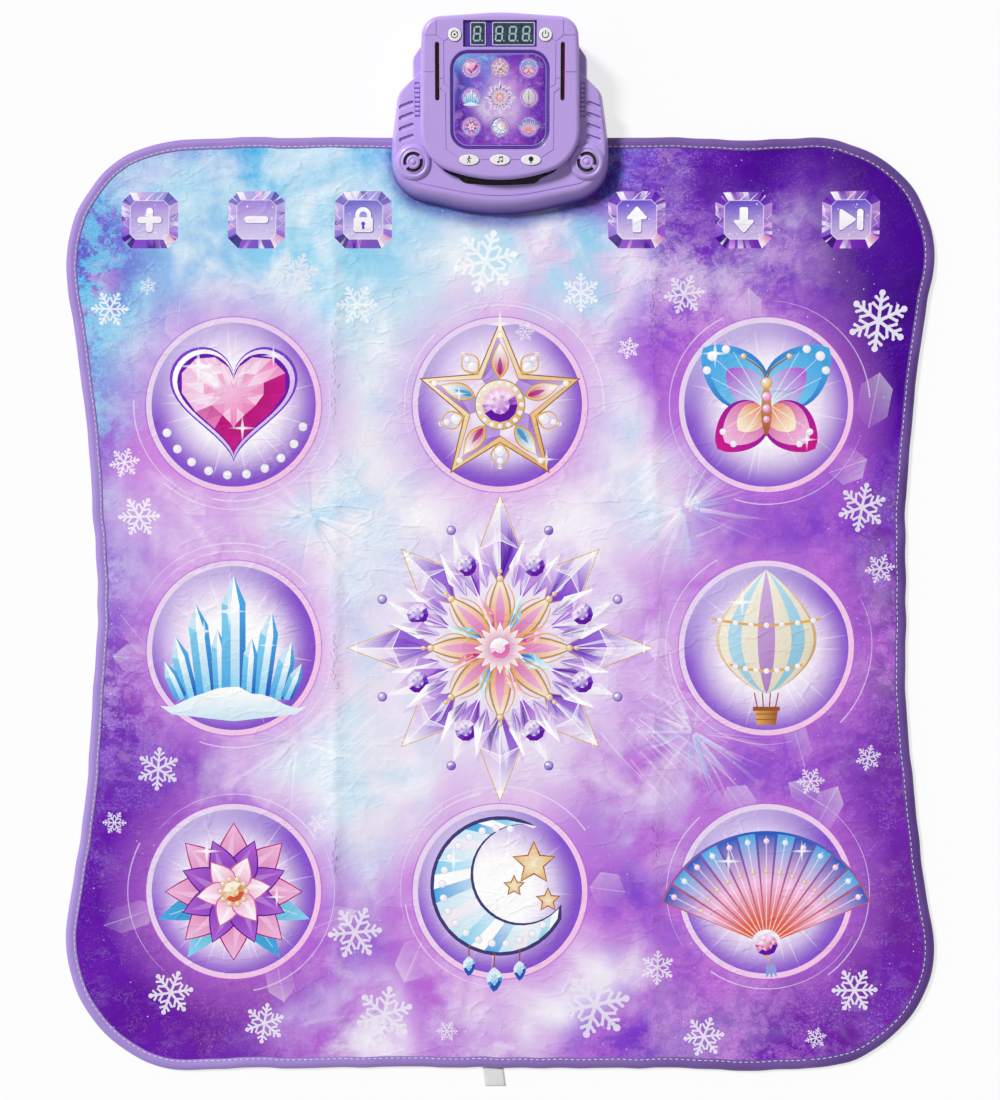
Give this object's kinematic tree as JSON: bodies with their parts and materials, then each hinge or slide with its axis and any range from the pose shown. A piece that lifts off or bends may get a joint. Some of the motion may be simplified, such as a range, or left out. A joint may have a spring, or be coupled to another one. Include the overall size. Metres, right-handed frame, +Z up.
{
  "type": "electronic dance mat",
  "caption": "Soft floor mat with round step pads, octagonal touch pads, a sewn edge, and a sloping battery console with display, buttons and speakers over its rear edge.",
  "frame": {"origin": "centre of the mat's outline, on the underside of its backing, which lies on the floor", "axes": "+Z up; +Y along the mat toward the console; +X to the right of a player who faces the console"},
  "size_m": [0.8398, 1.0215, 0.0678],
  "materials": {
    "cover_print": "printed, coated polyester, satin",
    "pad_print": "printed, coated polyester, satin",
    "binding_tape": "woven tape, matte",
    "backing_fabric": "woven, dotted, matte",
    "foam": "closed-cell foam, matte",
    "circuit_film": "film, satin",
    "label_fabric": "woven satin",
    "lilac_plastic": "moulded, satin",
    "violet_plastic": "moulded, gloss",
    "digit_display": "gloss",
    "panel_print": "printed, gloss",
    "circuit_board": "solder mask, satin",
    "keypad_rubber": "silicone, matte",
    "white_plastic": "moulded, satin",
    "red_plastic": "tinted, gloss",
    "black_plastic": "moulded, matte",
    "steel": "plated",
    "battery_sleeve": "printed sleeve, plain",
    "foot_rubber": "matte"
  },
  "bodies": {
    "mat": {"top_cover": "cover_print", "upper_circuit_film": "circuit_film", "spacer_foam": "foam", "lower_circuit_film": "circuit_film", "cushion_foam": "foam", "nonslip_backing": "backing_fabric", "edge_binding": "binding_tape", "care_label": "label_fabric", "mat_clamp_plate": "steel", "clamp_screw_left": "steel", "clamp_screw_right": "steel", "base_shell": "lilac_plastic", "bottom_cover": "lilac_plastic", "head_cover": "lilac_plastic", "display_bezel": "violet_plastic", "digit_display_single": "digit_display", "digit_display_triple": "digit_display", "picture_panel": "panel_print", "main_board": "circuit_board", "keypad_membrane": "keypad_rubber", "front_light_guide": "red_plastic", "side_light_guide_left": "red_plastic", "side_light_guide_right": "red_plastic", "speaker_left": "black_plastic", "speaker_right": "black_plastic", "film_connector": "white_plastic", "battery_1": "battery_sleeve", "battery_2": "battery_sleeve", "battery_3": "battery_sleeve", "battery_contacts_left": "steel", "battery_contacts_right": "steel", "case_screw_front_left": "steel", "case_screw_front_right": "steel", "case_screw_rear_left": "steel", "case_screw_rear_right": "steel", "foot_left": "foot_rubber", "foot_right": "foot_rubber"},
    "pad_top_left": {"step_pad_top_left": "pad_print"},
    "pad_top": {"step_pad_top": "pad_print"},
    "pad_top_right": {"step_pad_top_right": "pad_print"},
    "pad_left": {"step_pad_left": "pad_print"},
    "pad_centre": {"step_pad_centre": "pad_print"},
    "pad_right": {"step_pad_right": "pad_print"},
    "pad_bottom_left": {"step_pad_bottom_left": "pad_print"},
    "pad_bottom": {"step_pad_bottom": "pad_print"},
    "pad_bottom_right": {"step_pad_bottom_right": "pad_print"},
    "pad_plus": {"touch_pad_plus": "pad_print"},
    "pad_minus": {"touch_pad_minus": "pad_print"},
    "pad_lock": {"touch_pad_lock": "pad_print"},
    "pad_up": {"touch_pad_up": "pad_print"},
    "pad_down": {"touch_pad_down": "pad_print"},
    "pad_play": {"touch_pad_play": "pad_print"},
    "power": {"power_button": "white_plastic"},
    "loop": {"loop_button": "white_plastic"},
    "mode": {"mode_button": "white_plastic"},
    "song": {"song_button": "white_plastic"},
    "volume": {"volume_button": "white_plastic"},
    "door": {"battery_door": "lilac_plastic", "battery_door_screw": "steel"}
  },
  "joints": [
    {"name": "pad_top_left_press", "type": "slide", "parent": "mat", "child": "pad_top_left", "axis": [0, 0, -1], "range_m": [0, 0.0012], "stiffness_N_per_m": 1500, "springref_m": -0.0005},
    {"name": "pad_top_press", "type": "slide", "parent": "mat", "child": "pad_top", "axis": [0, 0, -1], "range_m": [0, 0.0012], "stiffness_N_per_m": 1500, "springref_m": -0.0005},
    {"name": "pad_top_right_press", "type": "slide", "parent": "mat", "child": "pad_top_right", "axis": [0, 0, -1], "range_m": [0, 0.0012], "stiffness_N_per_m": 1500, "springref_m": -0.0005},
    {"name": "pad_left_press", "type": "slide", "parent": "mat", "child": "pad_left", "axis": [0, 0, -1], "range_m": [0, 0.0012], "stiffness_N_per_m": 1500, "springref_m": -0.0005},
    {"name": "pad_centre_press", "type": "slide", "parent": "mat", "child": "pad_centre", "axis": [0, 0, -1], "range_m": [0, 0.0012], "stiffness_N_per_m": 1500, "springref_m": -0.0005},
    {"name": "pad_right_press", "type": "slide", "parent": "mat", "child": "pad_right", "axis": [0, 0, -1], "range_m": [0, 0.0012], "stiffness_N_per_m": 1500, "springref_m": -0.0005},
    {"name": "pad_bottom_left_press", "type": "slide", "parent": "mat", "child": "pad_bottom_left", "axis": [0, 0, -1], "range_m": [0, 0.0012], "stiffness_N_per_m": 1500, "springref_m": -0.0005},
    {"name": "pad_bottom_press", "type": "slide", "parent": "mat", "child": "pad_bottom", "axis": [0, 0, -1], "range_m": [0, 0.0012], "stiffness_N_per_m": 1500, "springref_m": -0.0005},
    {"name": "pad_bottom_right_press", "type": "slide", "parent": "mat", "child": "pad_bottom_right", "axis": [0, 0, -1], "range_m": [0, 0.0012], "stiffness_N_per_m": 1500, "springref_m": -0.0005},
    {"name": "pad_plus_press", "type": "slide", "parent": "mat", "child": "pad_plus", "axis": [0, 0, -1], "range_m": [0, 0.0012], "stiffness_N_per_m": 1000, "springref_m": -0.0005},
    {"name": "pad_minus_press", "type": "slide", "parent": "mat", "child": "pad_minus", "axis": [0, 0, -1], "range_m": [0, 0.0012], "stiffness_N_per_m": 1000, "springref_m": -0.0005},
    {"name": "pad_lock_press", "type": "slide", "parent": "mat", "child": "pad_lock", "axis": [0, 0, -1], "range_m": [0, 0.0012], "stiffness_N_per_m": 1000, "springref_m": -0.0005},
    {"name": "pad_up_press", "type": "slide", "parent": "mat", "child": "pad_up", "axis": [0, 0, -1], "range_m": [0, 0.0012], "stiffness_N_per_m": 1000, "springref_m": -0.0005},
    {"name": "pad_down_press", "type": "slide", "parent": "mat", "child": "pad_down", "axis": [0, 0, -1], "range_m": [0, 0.0012], "stiffness_N_per_m": 1000, "springref_m": -0.0005},
    {"name": "pad_play_press", "type": "slide", "parent": "mat", "child": "pad_play", "axis": [0, 0, -1], "range_m": [0, 0.0012], "stiffness_N_per_m": 1000, "springref_m": -0.0005},
    {"name": "power_press", "type": "slide", "parent": "mat", "child": "power", "axis": [0, 0.1736, -0.9848], "range_m": [0, 0.001], "stiffness_N_per_m": 800, "springref_m": -0.0008},
    {"name": "loop_press", "type": "slide", "parent": "mat", "child": "loop", "axis": [0, 0.1736, -0.9848], "range_m": [0, 0.001], "stiffness_N_per_m": 800, "springref_m": -0.0008},
    {"name": "mode_press", "type": "slide", "parent": "mat", "child": "mode", "axis": [0, 0.1736, -0.9848], "range_m": [0, 0.001], "stiffness_N_per_m": 800, "springref_m": -0.0008},
    {"name": "song_press", "type": "slide", "parent": "mat", "child": "song", "axis": [0, 0.1736, -0.9848], "range_m": [0, 0.001], "stiffness_N_per_m": 800, "springref_m": -0.0008},
    {"name": "volume_press", "type": "slide", "parent": "mat", "child": "volume", "axis": [0, 0.1736, -0.9848], "range_m": [0, 0.001], "stiffness_N_per_m": 800, "springref_m": -0.0008},
    {"name": "battery_door_lift", "type": "slide", "parent": "mat", "child": "door", "axis": [0, 0, -1], "range_m": [0, 0.03]}
  ]
}
